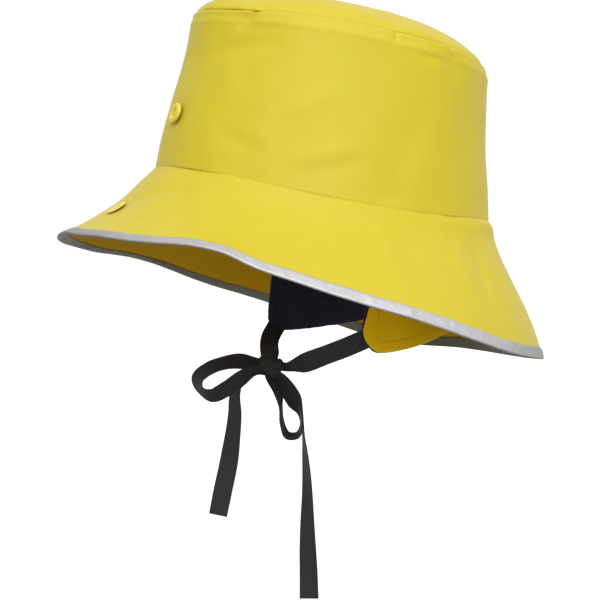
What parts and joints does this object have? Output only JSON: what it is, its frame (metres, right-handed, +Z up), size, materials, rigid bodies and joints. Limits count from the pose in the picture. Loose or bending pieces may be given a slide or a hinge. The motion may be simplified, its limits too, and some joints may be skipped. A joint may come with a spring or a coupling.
{
  "type": "sou'wester rain hat",
  "caption": "Child's rain hat with a tapered crown, flared brim bound in reflective tape, fleece-lined ear-and-neck flap and ribbons tied in a bow.",
  "frame": {"origin": "the middle of the head opening, at the seam of crown and brim, where the head holds the hat", "axes": "+Z up, the front of the hat to -Y, the wearer's left to +X; the hat is tipped back about X as it is worn"},
  "size_m": [0.2546, 0.2583, 0.3149],
  "materials": {
    "coated_cloth": "satin",
    "reflective_tape": "satin",
    "snap_plastic": "gloss",
    "fleece": "matte",
    "ribbon": "matte"
  },
  "bodies": {
    "root": {"crown_wall": "coated_cloth", "crown_tip": "coated_cloth", "brim": "coated_cloth", "edge_tape": "reflective_tape", "crown_snap_socket": "snap_plastic", "crown_snap_cap": "snap_plastic", "brim_snap_socket": "snap_plastic", "brim_snap_cap": "snap_plastic", "ear_neck_flap": "coated_cloth", "flap_lining": "fleece", "tie_near": "ribbon", "tie_far": "ribbon", "bow_loop_left": "ribbon", "bow_loop_right": "ribbon", "tail_left": "ribbon", "tail_right": "ribbon", "bow_knot": "ribbon"}
  },
  "joints": []
}
